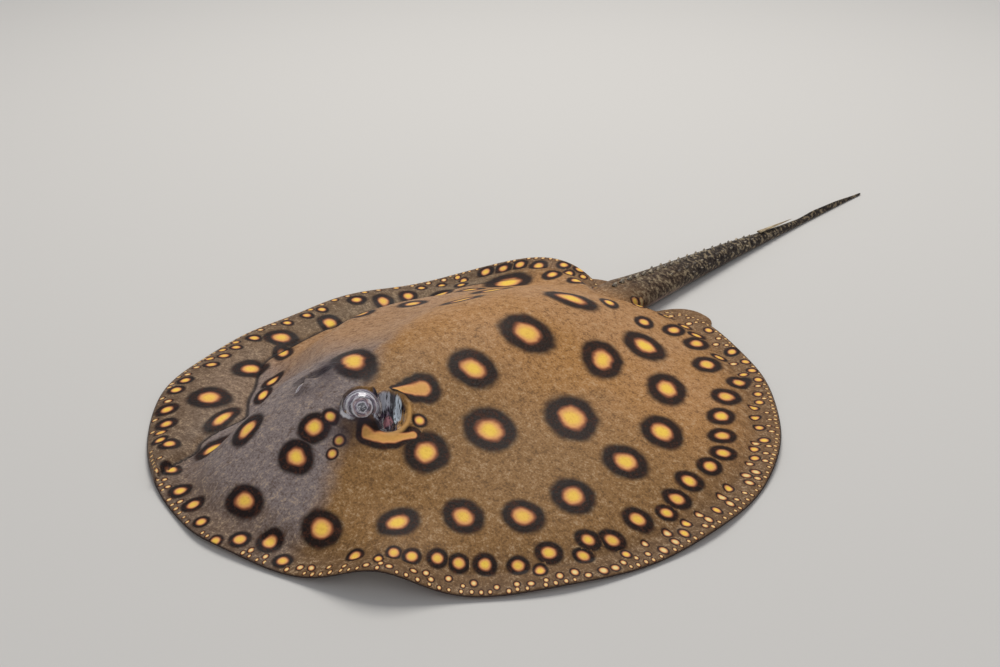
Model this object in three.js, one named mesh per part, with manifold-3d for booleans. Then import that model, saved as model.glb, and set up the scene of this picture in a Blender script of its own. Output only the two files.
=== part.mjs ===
// Freshwater stingray lying flat on the floor, life size.
// Millimetres, +Z up. The snout points along -Y, the tail along +Y, and the
// animal's left side is +X. The origin is on the floor under the disc's centre.

import * as THREE from 'three';
import { mergeVertices } from 'three/addons/utils/BufferGeometryUtils.js';
import Module from 'manifold-3d';

const wasm = await Module();
wasm.setup();

// ---- driving dimensions ------------------------------------------------

const discRadius = 201; // mean radius of the round disc
const discLean = 5; // how much further the disc reaches to the front than to the back
const discHeight = 38; // rise of the fin muscles over the margin, at the centre
const muscleReach = 0.92; // share of the radius where the fin muscles end
const muscleFullness = 0.9; // below 1 gives round shoulders, above 1 a peak
const marginThickness = 3;
const rimFloor = 0.8; // underside of the free margin over the floor

const ridgeHeight = 24; // the trunk stands this much over the fins
const ridgeWidth = 55;

const trunkHalfWidth = 84; // half width of head and trunk between the fins
const trunkEndHalfWidth = 34;
const trunkMiddleY = -5;
const trunkTaperLength = 215;
const spineBend = 23; // the trunk's end lies this far to the right of the centre line
const tailSlant = 0.01; // further sideways run of the tail, for each mm of length
const neckY = -30; // joint between head and trunk
const finJointY = 6; // joint between the front and the rear half of a fin
const tailJointY = 190;
const parting = 0.3; // gap left between neighbouring pieces

const tailTipY = 550;
const tailBaseWidth = 40;
const tailBaseHeight = 25;
const tailTaper = 2;
const tailTipWidth = 2.4;
const tailFoldHeight = 3.2; // low fin fold along the top of the tail's end
const tailJoints = [292, 408];

const stingRootY = 372;
const stingLength = 54;
const stingWidth = 4.6;
const stingThickness = 2.2;
const stingLift = 1.6; // its point stands off the tail by this much more than its root
const thornSpacing = 9;
const thornHeight = 3.4;

const eyeX = 22;
const eyeY = -107;
const eyeRadius = 10.2;
const eyeHeight = 51.5;
const rightEyeDrop = 9.5; // the right eye is drawn in
const orbitSize = [16, 17.5, 14];
const orbitHeight = 40.5;
const spiracleX = 35;
const spiracleY = -95.5;
const spiracleHeight = 47;
const spiracleSize = [8.4, 11.4, 8];
const spiracleTurn = 38; // degrees, towards the snout's end outwards

const pelvicCentre = [42, 186]; // from the spine, and along the body
const pelvicSize = [24, 36];
const pelvicTurn = 14; // degrees
const pelvicThickness = 4.4;
const pelvicEdge = 1.6;

const mouthY = -150;
const mouthWidth = 38;
const gillCount = 5;
const ventY = 163;

// ---- small helpers -----------------------------------------------------

const toRadians = THREE.MathUtils.degToRad;
const ease = (t) => THREE.MathUtils.smoothstep(t, 0, 1);
const hump = (offset, width) => Math.exp(-((offset / width) ** 2));

function toSolid(geometry) {
  const bare = geometry.clone();
  bare.deleteAttribute('normal');
  bare.deleteAttribute('uv');
  const merged = mergeVertices(bare, 1e-4);
  const mesh = new wasm.Mesh({
    numProp: 3,
    vertProperties: new Float32Array(merged.attributes.position.array),
    triVerts: new Uint32Array(merged.index.array),
  });
  return new wasm.Manifold(mesh);
}

function toGeometry(solid) {
  const mesh = solid.getMesh();
  const geometry = new THREE.BufferGeometry();
  geometry.setAttribute('position', new THREE.BufferAttribute(mesh.vertProperties, 3));
  geometry.setIndex(new THREE.BufferAttribute(mesh.triVerts, 1));
  return geometry;
}

function meshFrom(points, triangles) {
  const geometry = new THREE.BufferGeometry();
  geometry.setAttribute('position', new THREE.Float32BufferAttribute(points.flat(), 3));
  geometry.setIndex(triangles.flat());
  return geometry;
}

// A round shell: an upper and a lower surface that meet along one rim.
// Each ring is given as a share of the radius: the upper ones from the middle
// outwards, the lower ones from the rim inwards.
function roundShell({ segments, upperRings, lowerRings, edge, upper, lower }) {
  const points = [upper(0, 0)];
  const triangles = [];
  const addRing = (share, surface) => {
    const first = points.length;
    for (let i = 0; i < segments; i += 1) {
      const turn = (i / segments) * 360 - 180;
      points.push(surface(share * edge(turn), turn));
    }
    return first;
  };
  const joinRings = (inner, outer, upward) => {
    for (let i = 0; i < segments; i += 1) {
      const next = (i + 1) % segments;
      const quad = [inner + i, outer + i, outer + next, inner + next];
      if (!upward) quad.reverse();
      triangles.push([quad[0], quad[1], quad[2]], [quad[0], quad[2], quad[3]]);
    }
  };
  let ring = addRing(upperRings[0], upper);
  for (let i = 0; i < segments; i += 1) {
    triangles.push([0, ring + i, ring + ((i + 1) % segments)]);
  }
  for (const share of upperRings.slice(1)) {
    const outer = addRing(share, upper);
    joinRings(ring, outer, true);
    ring = outer;
  }
  for (const share of lowerRings) {
    const inner = addRing(share, lower);
    joinRings(inner, ring, false);
    ring = inner;
  }
  const centre = points.length;
  points.push(lower(0, 0));
  for (let i = 0; i < segments; i += 1) {
    triangles.push([centre, ring + ((i + 1) % segments), ring + i]);
  }
  return meshFrom(points, triangles);
}

// A closed tube through cross-sections, each a list of the same number of points.
function loft(sections) {
  const count = sections[0].length;
  const points = sections.flat();
  const triangles = [];
  for (let s = 0; s < sections.length - 1; s += 1) {
    for (let i = 0; i < count; i += 1) {
      const next = (i + 1) % count;
      const a = s * count;
      const b = a + count;
      triangles.push([a + i, a + next, b + next], [a + i, b + next, b + i]);
    }
  }
  const last = (sections.length - 1) * count;
  for (let i = 1; i < count - 1; i += 1) {
    triangles.push([0, i + 1, i], [last, last + i, last + i + 1]);
  }
  return meshFrom(points, triangles);
}

function ellipsoid(size, place, segments = 16, rings = 10, turn = 0) {
  const geometry = new THREE.SphereGeometry(1, segments, rings);
  geometry.rotateX(Math.PI / 2);
  geometry.scale(...size);
  geometry.rotateZ(turn);
  geometry.translate(...place);
  return toSolid(geometry);
}

// An upright block over the plan between two curves x = from(y) and x = to(y).
function planBlock(yStart, yEnd, from, to, steps = 24) {
  const shape = new THREE.Shape();
  for (let i = 0; i <= steps; i += 1) {
    const y = yStart + ((yEnd - yStart) * i) / steps;
    if (i === 0) shape.moveTo(to(y), y);
    else shape.lineTo(to(y), y);
  }
  for (let i = steps; i >= 0; i -= 1) {
    const y = yStart + ((yEnd - yStart) * i) / steps;
    shape.lineTo(from(y), y);
  }
  const geometry = new THREE.ExtrudeGeometry(shape, { depth: 140, bevelEnabled: false });
  geometry.translate(0, 0, -20);
  return toSolid(geometry);
}

// The midline of trunk and tail, seen from above.
function spineX(y) {
  return -spineBend * ease((y - 40) / (tailJointY - 40)) - tailSlant * Math.max(0, y - tailJointY);
}

// ---- the disc ----------------------------------------------------------
// Directions on the disc are degrees from the snout, positive to the left.

const tailTurn = -180 + THREE.MathUtils.radToDeg(Math.atan2(spineBend, tailJointY));

function fromTail(turn) {
  const gap = Math.abs(turn - tailTurn) % 360;
  return Math.min(gap, 360 - gap);
}

function discEdge(turn) {
  const snout = 2 * hump(turn, 6);
  const rearLobe = 7 * hump(fromTail(turn) - 25, 22);
  const tailNotch = 15 * hump(fromTail(turn), 9);
  const drawnIn = 11 * hump(turn + 82, 22) + 4 * hump(turn + 34, 20);
  return discRadius + discLean * Math.cos(toRadians(turn)) + snout + rearLobe - tailNotch - drawnIn;
}

// The free margin lifts off the floor in slow waves.
function marginLift(turn, share) {
  const frontWave = 12 * hump(turn - 32, 8);
  const rearWave = 18 * hump(turn + 152, 17);
  const overPelvic = 5.4 * hump(fromTail(turn) - 18, 14);
  const ripple = 0.9 + 0.9 * Math.sin(toRadians(turn * 13 + 40));
  const soft = ease((share - 0.72) / 0.28);
  return (frontWave + rearWave + overPelvic) * soft + ripple * ease((share - 0.86) / 0.14);
}

// The right fin is folded along its root: this is where the fold runs, as a
// share of the radius. At the front it leaves the disc, at the back it flattens.
const foldRun = [
  [-180, 0.82],
  [-94, 0.8],
  [-73, 0.79],
  [-53, 0.71],
  [-40, 0.7],
  [-27, 0.85],
  [-17, 1],
  [-5, 1.3],
];
const foldEnd = -138; // the direction where the fold has flattened out
const foldFade = 26;
const foldBank = 0.21; // share of the radius over which the body rises from the fold
const foldBankFront = 0.27;

function foldShare(turn) {
  if (turn >= foldRun.at(-1)[0]) return foldRun.at(-1)[1];
  const next = foldRun.findIndex(([at]) => at > turn);
  const [t0, s0] = foldRun[next - 1];
  const [t1, s1] = foldRun[next];
  return s0 + (s1 - s0) * ease((turn - t0) / (t1 - t0));
}

function discTopHeight(x, y, turn, share) {
  const muscle = Math.max(0, 1 - (share / muscleReach) ** 2) ** muscleFullness;
  const alongTrunk = 0.3 + 0.7 * ease((y + 190) / 95) - 0.5 * ease((y - 10) / 180);
  const ridge = ridgeHeight * hump(x - spineX(y), ridgeWidth) * alongTrunk * ease((1 - share) / 0.16);
  const foldAt = foldShare(turn);
  const folded = ease((turn - foldEnd) / foldFade);
  const bank = THREE.MathUtils.lerp(foldBank, foldBankFront, ease((turn + 95) / 25));
  const inside = THREE.MathUtils.lerp(1, ease((foldAt - share) / bank), folded);
  const outward = THREE.MathUtils.clamp((share - foldAt) / Math.max(0.02, 1 - foldAt), 0, 1);
  const foldedFin = 4.5 * folded * Math.sin(outward * Math.PI) * ease((1.06 - foldAt) / 0.1);
  const body = (discHeight * muscle + ridge) * inside;
  return marginThickness + body + foldedFin + marginLift(turn, share);
}

function discPoint(radius, turn, height) {
  const x = radius * Math.sin(toRadians(turn));
  const y = -radius * Math.cos(toRadians(turn));
  return [x, y, height(x, y)];
}

function makeDisc() {
  const upperRings = [0.13, 0.26];
  const ringStep = 0.0483;
  for (let share = 0.36; share < 0.99; share += ringStep) {
    upperRings.push(share);
  }
  return toSolid(
    roundShell({
      segments: 80,
      upperRings,
      lowerRings: [1, 0.985, 0.9, 0.8, 0.7],
      edge: discEdge,
      upper: (radius, turn) => {
        const share = radius / discEdge(turn);
        return discPoint(radius, turn, (x, y) => discTopHeight(x, y, turn, share));
      },
      lower: (radius, turn) => {
        const share = radius / discEdge(turn);
        const rim = share > 0.99 ? marginThickness * 0.5 : 0;
        const free = rimFloor * ease((share - 0.9) / 0.08);
        const lift = marginLift(turn, share) * ease((share - 0.7) / 0.1);
        return discPoint(radius, turn, () => lift + Math.max(rim, free));
      },
    }),
  );
}

function trunkSide(y) {
  const swell = 1 - ((y - trunkMiddleY) / trunkTaperLength) ** 2;
  return trunkEndHalfWidth + (trunkHalfWidth - trunkEndHalfWidth) * Math.max(-0.1, swell);
}

const trunkLeft = (y) => spineX(y) + trunkSide(y);
const trunkRight = (y) => spineX(y) - trunkSide(y);

// ---- the tail ----------------------------------------------------------

function tailWidth(y) {
  const along = THREE.MathUtils.clamp((y - tailJointY) / (tailTipY - tailJointY), 0, 1);
  return tailTipWidth + (tailBaseWidth - tailTipWidth) * (1 - along) ** tailTaper;
}

function tailHeight(y) {
  const along = THREE.MathUtils.clamp((y - tailJointY) / (tailTipY - tailJointY), 0, 1);
  const slender = THREE.MathUtils.lerp(tailBaseHeight / tailBaseWidth, 0.92, ease(along / 0.5));
  return tailWidth(y) * slender;
}

function makeTail(grow = 0) {
  const sides = 12;
  const sections = [];
  const stops = [];
  for (let y = 112; y < tailTipY; y += 15) stops.push(y);
  stops.push(tailTipY);
  for (const y of stops) {
    const halfWidth = tailWidth(y) / 2 + grow;
    const halfHeight = tailHeight(y) / 2 + grow;
    const foldShape = ease((y - stingRootY - stingLength) / 40) * ease((tailTipY + 2 - y) / 60);
    const section = [];
    for (let i = 0; i < sides; i += 1) {
      const a = (i / sides) * 2 * Math.PI;
      const up = Math.sin(a);
      const fold = up > 0.99 ? tailFoldHeight * foldShape : 0;
      const z = Math.max(grow > 0 ? -1 : 0, halfHeight * (0.9 + up) + fold);
      section.push([spineX(y) - halfWidth * Math.cos(a), y, z]);
    }
    sections.push(section);
  }
  return toSolid(loft(sections));
}

// Low thorns stand in one row along the tail's back, from its root to the sting.
function addThorns(tail) {
  let thorny = tail;
  let y = tailJointY - 14;
  while (y < stingRootY - 10) {
    const height = thornHeight * (1 - 0.4 * ease((y - tailJointY) / 160));
    const thorn = new THREE.ConeGeometry(height * 0.62, height + 2, 6);
    thorn.rotateX(Math.PI / 2 - 0.5);
    thorn.translate(spineX(y), y, tailHeight(y) * 0.95 + height / 2 - 1);
    thorny = thorny.add(toSolid(thorn));
    y += thornSpacing;
  }
  return thorny;
}

function makeSting() {
  const sections = [];
  const steps = 7;
  for (let i = 0; i <= steps; i += 1) {
    const t = i / steps;
    const y = stingRootY + t * stingLength;
    const slim = 1 - 0.93 * t ** 1.6;
    const halfWidth = (stingWidth / 2) * slim;
    const half = (stingThickness / 2) * (1 - 0.75 * t);
    const rest = tailHeight(y) * 0.95 + stingThickness / 2 + parting + 0.3;
    const z = rest + stingLift * t;
    const x = spineX(y);
    sections.push([
      [x - halfWidth, y, z],
      [x - halfWidth * 0.45, y, z + half],
      [x + halfWidth * 0.45, y, z + half],
      [x + halfWidth, y, z],
      [x + halfWidth * 0.45, y, z - half],
      [x - halfWidth * 0.45, y, z - half],
    ]);
  }
  return toSolid(loft(sections));
}

// ---- pelvic fins -------------------------------------------------------

function makePelvic(side, grow = 0) {
  const turnBack = toRadians(pelvicTurn) * side;
  const edge = (turn) => {
    const a = toRadians(turn);
    const wide = Math.abs(Math.sin(a) / (pelvicSize[0] + grow)) ** 2.5;
    const long = Math.abs(Math.cos(a) / (pelvicSize[1] + grow)) ** 2.5;
    return (wide + long) ** (-1 / 2.5);
  };
  const place = (radius, turn, height) => {
    const x = radius * Math.sin(toRadians(turn));
    const y = -radius * Math.cos(toRadians(turn));
    const middle = spineX(pelvicCentre[1]) + side * pelvicCentre[0];
    const outX = middle + x * Math.cos(turnBack) + y * Math.sin(turnBack);
    const outY = pelvicCentre[1] - x * Math.sin(turnBack) + y * Math.cos(turnBack);
    return [outX, outY, height];
  };
  const shell = roundShell({
    segments: 32,
    upperRings: [0.45, 0.8, 1],
    lowerRings: [1, 0.6],
    edge,
    upper: (radius, turn) => {
      const share = radius / edge(turn);
      const height = pelvicEdge + (pelvicThickness - pelvicEdge) * (1 - share ** 2) + grow;
      return place(radius, turn, height);
    },
    lower: (radius, turn) => place(radius, turn, grow > 0 ? -1 : 0),
  });
  return toSolid(shell);
}

// ---- marks on the underside --------------------------------------------

function slot(length, width, depth, place, turn) {
  const shape = new THREE.Shape();
  const steps = 8;
  for (let i = 0; i < steps; i += 1) {
    const a = (i / steps) * 2 * Math.PI;
    const x = (length / 2) * Math.cos(a);
    const y = (width / 2) * Math.sin(a);
    if (i === 0) shape.moveTo(x, y);
    else shape.lineTo(x, y);
  }
  const geometry = new THREE.ExtrudeGeometry(shape, { depth: depth + 1, bevelEnabled: false });
  geometry.translate(0, 0, -1);
  geometry.rotateZ(turn);
  geometry.translate(place[0], place[1], 0);
  return toSolid(geometry);
}

function cutUnderside(body) {
  let cut = body.subtract(slot(mouthWidth, 5, 2.5, [0, mouthY], 0));
  cut = cut.subtract(slot(5, 13, 1.6, [spineX(ventY), ventY], 0));
  for (const side of [-1, 1]) {
    cut = cut.subtract(slot(8, 5, 2, [side * 14, mouthY - 9], side * 0.5));
    for (let i = 0; i < gillCount; i += 1) {
      const x = side * (52 - i * 4.2);
      const y = -100 + i * 13;
      cut = cut.subtract(slot(10, 2, 1.6, [x, y], side * (-0.35 + i * 0.12)));
    }
  }
  return cut;
}

// ---- eyes and spiracles ------------------------------------------------

const eyePlace = (side) => [side * eyeX, eyeY, eyeHeight - (side < 0 ? rightEyeDrop : 0)];

function addOrbits(body) {
  let shaped = body;
  for (const side of [-1, 1]) {
    const drop = side < 0 ? rightEyeDrop : 0;
    shaped = shaped.add(ellipsoid(orbitSize, [side * eyeX, eyeY + 1, orbitHeight - drop]));
  }
  for (const side of [-1, 1]) {
    const socket = eyeRadius + parting;
    shaped = shaped.subtract(ellipsoid([socket, socket, socket], eyePlace(side)));
    const hollow = [side * spiracleX, spiracleY, spiracleHeight];
    const turn = toRadians(spiracleTurn) * side;
    shaped = shaped.subtract(ellipsoid(spiracleSize, hollow, 12, 8, turn));
  }
  return shaped;
}

// ---- the whole animal, parted at its joints ----------------------------

const disc = addOrbits(makeDisc());
const tail = makeTail();
const whole = cutUnderside(disc.add(tail));

const half = parting / 2;
const far = 300;
const head = whole.intersect(
  planBlock(-far, neckY - half, (y) => trunkRight(y) + half, (y) => trunkLeft(y) - half),
);
const trunk = whole.intersect(
  planBlock(neckY + half, tailJointY - half, (y) => trunkRight(y) + half, (y) => trunkLeft(y) - half),
);

function makePectoral(side, yStart, yEnd) {
  const from = (y) => (side > 0 ? trunkLeft(y) + half : -far);
  const to = (y) => (side > 0 ? far : trunkRight(y) - half);
  return disc.intersect(planBlock(yStart, yEnd, from, to)).subtract(makePelvic(side, parting));
}

function makePelvicFin(side) {
  const core = planBlock(100, tailJointY + 2, (y) => trunkRight(y) - half, (y) => trunkLeft(y) + half);
  return makePelvic(side).subtract(core).subtract(makeTail(parting));
}

function tailLength(yStart, yEnd) {
  const block = planBlock(yStart + half, yEnd - half, () => -far, () => far, 1);
  return addThorns(tail).intersect(block);
}

const pieces = {
  head: ['skin', head],
  trunk: ['skin', trunk],
  fin_pectoral_left_front: ['skin', makePectoral(1, -far, finJointY - half)],
  fin_pectoral_left_rear: ['skin', makePectoral(1, finJointY + half, far)],
  fin_pectoral_right_front: ['skin', makePectoral(-1, -far, finJointY - half)],
  fin_pectoral_right_rear: ['skin', makePectoral(-1, finJointY + half, far)],
  fin_pelvic_left: ['fin', makePelvicFin(1)],
  fin_pelvic_right: ['fin', makePelvicFin(-1)],
  tail_base: ['tail', tailLength(tailJointY, tailJoints[0])],
  tail_mid: ['tail', tailLength(tailJoints[0], tailJoints[1])],
  tail_tip: ['tail', tailLength(tailJoints[1], tailTipY + 5)],
  sting: ['sting', makeSting()],
  eye_left: ['eye', ellipsoid([eyeRadius, eyeRadius, eyeRadius], eyePlace(1))],
  eye_right: ['eye', ellipsoid([eyeRadius, eyeRadius, eyeRadius], eyePlace(-1))],
};

const finishes = {
  skin: { color: 0x8a6a48, roughness: 0.55 },
  fin: { color: 0x6f5a44, roughness: 0.55 },
  tail: { color: 0x4f4335, roughness: 0.6 },
  sting: { color: 0xb9a98a, roughness: 0.45 },
  eye: { color: 0x7d7f80, roughness: 0.15 },
};

const stingray = new THREE.Group();
for (const [name, [finish, solid]] of Object.entries(pieces)) {
  const material = new THREE.MeshStandardMaterial({ ...finishes[finish], metalness: 0 });
  const mesh = new THREE.Mesh(toGeometry(solid), material);
  mesh.name = name;
  stingray.add(mesh);
}

export default stingray;
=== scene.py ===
import math
import random

import bpy
import numpy as np
from mathutils import Matrix, Vector


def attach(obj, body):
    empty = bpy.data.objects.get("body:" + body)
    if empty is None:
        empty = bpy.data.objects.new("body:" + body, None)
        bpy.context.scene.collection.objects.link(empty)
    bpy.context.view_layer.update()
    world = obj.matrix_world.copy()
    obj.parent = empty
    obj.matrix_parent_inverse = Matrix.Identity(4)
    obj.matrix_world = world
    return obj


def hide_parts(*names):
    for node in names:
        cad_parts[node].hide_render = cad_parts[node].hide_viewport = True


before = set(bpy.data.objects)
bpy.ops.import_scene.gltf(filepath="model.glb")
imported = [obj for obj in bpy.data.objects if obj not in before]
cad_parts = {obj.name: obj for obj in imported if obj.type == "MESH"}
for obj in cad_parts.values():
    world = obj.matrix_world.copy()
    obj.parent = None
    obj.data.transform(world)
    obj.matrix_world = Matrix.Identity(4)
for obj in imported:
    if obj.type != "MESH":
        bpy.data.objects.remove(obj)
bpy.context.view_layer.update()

mm = 0.001
scene = bpy.context.scene


def toMode(mode):
    bpy.ops.object.mode_set(mode=mode)


def deselectAll():
    if bpy.context.object and bpy.context.object.mode != "OBJECT":
        toMode("OBJECT")
    bpy.ops.object.select_all(action="DESELECT")


def makeActive(piece):
    deselectAll()
    piece.select_set(True)
    bpy.context.view_layer.objects.active = piece


def applyPlace(piece):
    makeActive(piece)
    bpy.ops.object.transform_apply(location=True, rotation=True, scale=True)


# one value of every point, face or loop as an array
def readAll(items, name, kind=float, width=1):
    values = np.empty(len(items) * width, kind)
    items.foreach_get(name, values)
    return values if width == 1 else values.reshape(-1, width)


def pointsOf(piece):
    return readAll(piece.data.vertices, "co", width=3)


def setPoints(piece, co):
    piece.data.vertices.foreach_set("co", np.asarray(co, float).ravel())
    piece.data.update()


# select these points and nothing else
def selectPoints(piece, chosen):
    mesh = piece.data
    mesh.vertices.foreach_set("select", chosen)
    mesh.edges.foreach_set("select", np.zeros(len(mesh.edges), bool))
    mesh.polygons.foreach_set("select", np.zeros(len(mesh.polygons), bool))


def dropUvs(piece):
    for layer in list(piece.data.uv_layers):
        piece.data.uv_layers.remove(layer)


def addUv(piece, name, u, v):
    layer = piece.data.uv_layers.new(name=name)
    layer.data.foreach_set("uv", np.stack([u, v], 1).astype(np.float32).ravel())


def addMask(piece, name, values):
    mask = piece.data.attributes.new(name, "FLOAT", "POINT")
    mask.data.foreach_set("value", np.asarray(values, np.float32))


def ease(t):
    t = np.clip(t, 0, 1)
    return t * t * (3 - 2 * t)


def hump(offset, width):
    return np.exp(-((offset / width) ** 2))


# a and b are heights; they meet in a fillet of about blend
def softMax(a, b, blend):
    gap = np.clip(0.5 + 0.5 * (a - b) / blend, 0, 1)
    return b * (1 - gap) + a * gap + blend * gap * (1 - gap)


# camera, floor and light
view = {
    "place": (0.524, -0.522, 0.402),
    "turn": (64.7, 0, 43.5),        # degrees
    "lens": 46.8, "sensor": 36, "nearest": 0.01,
}
bpy.ops.object.camera_add(location=view["place"], rotation=np.radians(view["turn"]))
camera = bpy.context.object
camera.name = "camera"
camera.data.lens = view["lens"]
camera.data.sensor_width = view["sensor"]
camera.data.clip_start = view["nearest"]
scene.camera = camera

studio = {
    "floorSize": 8, "floorLevel": -0.0003, "floorColour": (0.62, 0.6, 0.57, 1), "floorRoughness": 0.8,
    "skyColour": (0.9, 0.93, 1.0, 1), "skyStrength": 0.34,
    # name, place, size, power and colour
    "lamps": [
        ("key_light", (-0.7, 0.9, 1.9), 1.3, 34, (1, 0.98, 0.94)),
        ("fill_light", (1.3, -0.9, 1.2), 1.6, 7, (0.95, 0.97, 1)),
    ],
}
deselectAll()
bpy.ops.mesh.primitive_plane_add(size=studio["floorSize"], location=(0, 0, studio["floorLevel"]))
floor = bpy.context.object
floor.name = "floor"
floorPaint = bpy.data.materials.new("floor_pale")
floorPaint.use_nodes = True
floorShader = floorPaint.node_tree.nodes["Principled BSDF"]
floorShader.inputs["Base Color"].default_value = studio["floorColour"]
floorShader.inputs["Roughness"].default_value = studio["floorRoughness"]
floor.data.materials.append(floorPaint)

world = bpy.data.worlds.new("studio")
world.use_nodes = True
sky = world.node_tree.nodes["Background"]
sky.inputs["Color"].default_value = studio["skyColour"]
sky.inputs["Strength"].default_value = studio["skyStrength"]
scene.world = world
for name, place, size, power, colour in studio["lamps"]:
    bpy.ops.object.light_add(type="AREA", location=place)
    lamp = bpy.context.object
    lamp.name = name
    lamp.rotation_euler = (-Vector(place)).to_track_quat("-Z", "Y").to_euler()
    lamp.data.size = size
    lamp.data.energy = power
    lamp.data.color = colour
scene.view_settings.view_transform = "Standard"
print("camera, floor and light are set")


# the form of the ray
# Millimetres here. Directions are degrees from the snout, positive to the animal's left.

form = {
    "radius": 201, "lean": 5, "rise": 38, "ridge": 24, "ridgeWidth": 55,
    "spineBend": 23, "tailSlant": 0.01, "tailRoot": 190, "tailTip": 548,
    "tailWidth": 39.4, "tipWidth": 2.2, "tailFold": 3,
    "marginThickness": 3, "muscleReach": 0.92,
    # swells of the outline and lifts of the margin: how much, at which direction, how wide
    "snout": (2, 0, 6), "cheek": (11, -82, 22), "nearSnout": (4, -34, 20),
    "frontWave": (12, 32, 8), "rearWave": (18, -152, 17),
    "rearLobe": (7, 25, 22), "notch": (15, 0, 9), "lobeWave": (5.4, 18, 14),      # counted from the tail
    # the line the front fin folds along: direction, and share of the way to the margin
    "foldTurns": [-180, -94, -73, -53, -40, -27, -17, -5, 180],
    "foldShares": [0.82, 0.8, 0.79, 0.71, 0.7, 0.85, 1, 1.3, 1.3],
    "foldBank": 0.21, "foldedSwell": 4.5, "creaseDepth": 1.3, "creaseLip": 0.9,
}
# a pair of values is for the left and for the right side
eyeForm = {
    "x": 22, "y": -107, "height": 50.2, "radius": 10.5, "drop": {1: 0, -1: 10.5},
    "lookLeft": (0.7, -0.53, 0.48),
    "moundWide": 16, "moundLong": 17.5, "moundHigh": 14, "moundSunk": 11, "moundReach": 30, "moundFillet": 3.5,
    "lidThickness": 1.0, "lidGap": 2.2, "lidAngle": {1: 86, -1: 28}, "lidFold": 0.7, "lidFillet": 1.6,
    "spiracleX": 34.4, "spiracleY": -96.3, "spiracleLong": 11.8, "spiracleWide": 9.6, "spiracleTurn": 38,
    "spiracleDepth": 8, "spiracleLip": 1.6, "valve": 4.2, "innerFolds": 0.5, "open": {1: 1, -1: 0.25},
}
bellyForm = {
    "mouthY": -150, "mouthHalf": 20, "mouthDepth": 1.8, "lipHalf": 24, "lipHigh": 0.5, "mouthHollow": 0.7,
    "nostrilX": 14, "nostrilY": -159, "nostrilDepth": 1.5,
    "gills": 5, "gillX": 52, "gillStepX": 4.2, "gillY": -100, "gillStepY": 13, "gillTurn": -0.35, "gillStepTurn": 0.12,
    "gillDepth": 1.4, "ventY": 163.0, "ventDepth": 1.5,
}


def spineX(y):
    bend = -form["spineBend"] * ease((y - 40) / (form["tailRoot"] - 40))
    return bend - form["tailSlant"] * np.maximum(0, y - form["tailRoot"])


tailTurn = -180 + math.degrees(math.atan2(form["spineBend"], form["tailRoot"]))


def fromTail(turn):
    gap = np.abs(turn - tailTurn) % 360
    return np.minimum(gap, 360 - gap)


def swell(name, turn):
    amount, at, width = form[name]
    return amount * hump(turn - at, width)


def discEdge(turn):
    oval = form["radius"] + form["lean"] * np.cos(np.radians(turn))
    drawnIn = swell("cheek", turn) + swell("nearSnout", turn)
    return oval + swell("snout", turn) + swell("rearLobe", fromTail(turn)) - swell("notch", fromTail(turn)) - drawnIn


def marginLift(turn, share):
    waves = swell("frontWave", turn) + swell("rearWave", turn) + swell("lobeWave", fromTail(turn))
    ripple = 0.9 + 0.9 * np.sin(np.radians(turn * 13 + 40))
    return waves * ease((share - 0.72) / 0.28) + ripple * ease((share - 0.86) / 0.14)


def foldShare(turn):
    turns, shares = form["foldTurns"], form["foldShares"]
    found = np.full(np.shape(turn), shares[-1], float)
    for i in range(len(turns) - 1):
        here = (turn >= turns[i]) & (turn <= turns[i + 1])
        step = ease((turn - turns[i]) / (turns[i + 1] - turns[i]))
        found = np.where(here, shares[i] + (shares[i + 1] - shares[i]) * step, found)
    return found


def polar(x, y):
    turn = np.degrees(np.arctan2(x, -y))
    return turn, np.hypot(x, y) / discEdge(turn)


def plainTop(x, y):
    turn, share = polar(x, y)
    muscle = np.maximum(0, 1 - (share / form["muscleReach"]) ** 2) ** 0.9
    alongTrunk = 0.3 + 0.7 * ease((y + 190) / 95) - 0.5 * ease((y - 10) / 180)
    ridge = form["ridge"] * hump(x - spineX(y), form["ridgeWidth"]) * alongTrunk * ease((1 - share) / 0.16)
    foldAt = foldShare(turn)
    folded = ease((turn + 138) / 26)
    bank = form["foldBank"] + 0.06 * ease((turn + 95) / 25)
    inside = 1 + (ease((foldAt - share) / bank) - 1) * folded
    outward = np.clip((share - foldAt) / np.maximum(0.02, 1 - foldAt), 0, 1)
    foldedFin = form["foldedSwell"] * folded * np.sin(outward * np.pi) * ease((1.06 - foldAt) / 0.1)
    onDisc = ease((1.03 - foldAt) / 0.1)
    crease = -form["creaseDepth"] * folded * hump(share - foldAt, 0.008) * onDisc
    lip = form["creaseLip"] * folded * hump(share - foldAt + 0.03, 0.022) * onDisc
    half = form["marginThickness"] / 2
    rim = half + half * np.sqrt(np.clip(1 - ((share - 0.96) / 0.04) ** 2, 0, 1) * (share > 0.96) + (share <= 0.96))
    body = (form["rise"] * muscle + ridge) * inside
    return rim + body + foldedFin + crease + lip + marginLift(turn, share)


def eyeCentre(side):
    return np.array([side * eyeForm["x"], eyeForm["y"], eyeForm["height"] - eyeForm["drop"][side]])


def eyeAxis(side):
    axis = np.array(eyeForm["lookLeft"]) * [side, 1, 1]
    return axis / np.linalg.norm(axis)


# the two directions across the way an eye looks, level and upward
def eyeAcross(axis):
    across = axis.cross(Vector((0, 0, 1))).normalized()
    return np.array(across), np.array(across.cross(axis).normalized())


# offset from the spiracle in shares of its half axes
def spiracleOffset(x, y, side):
    a = math.radians(eyeForm["spiracleTurn"]) * side
    dx, dy = x - side * eyeForm["spiracleX"], y - eyeForm["spiracleY"]
    u = (dx * math.cos(a) + dy * math.sin(a)) / eyeForm["spiracleWide"]
    v = (-dx * math.sin(a) + dy * math.cos(a)) / eyeForm["spiracleLong"]
    return u, v


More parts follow.
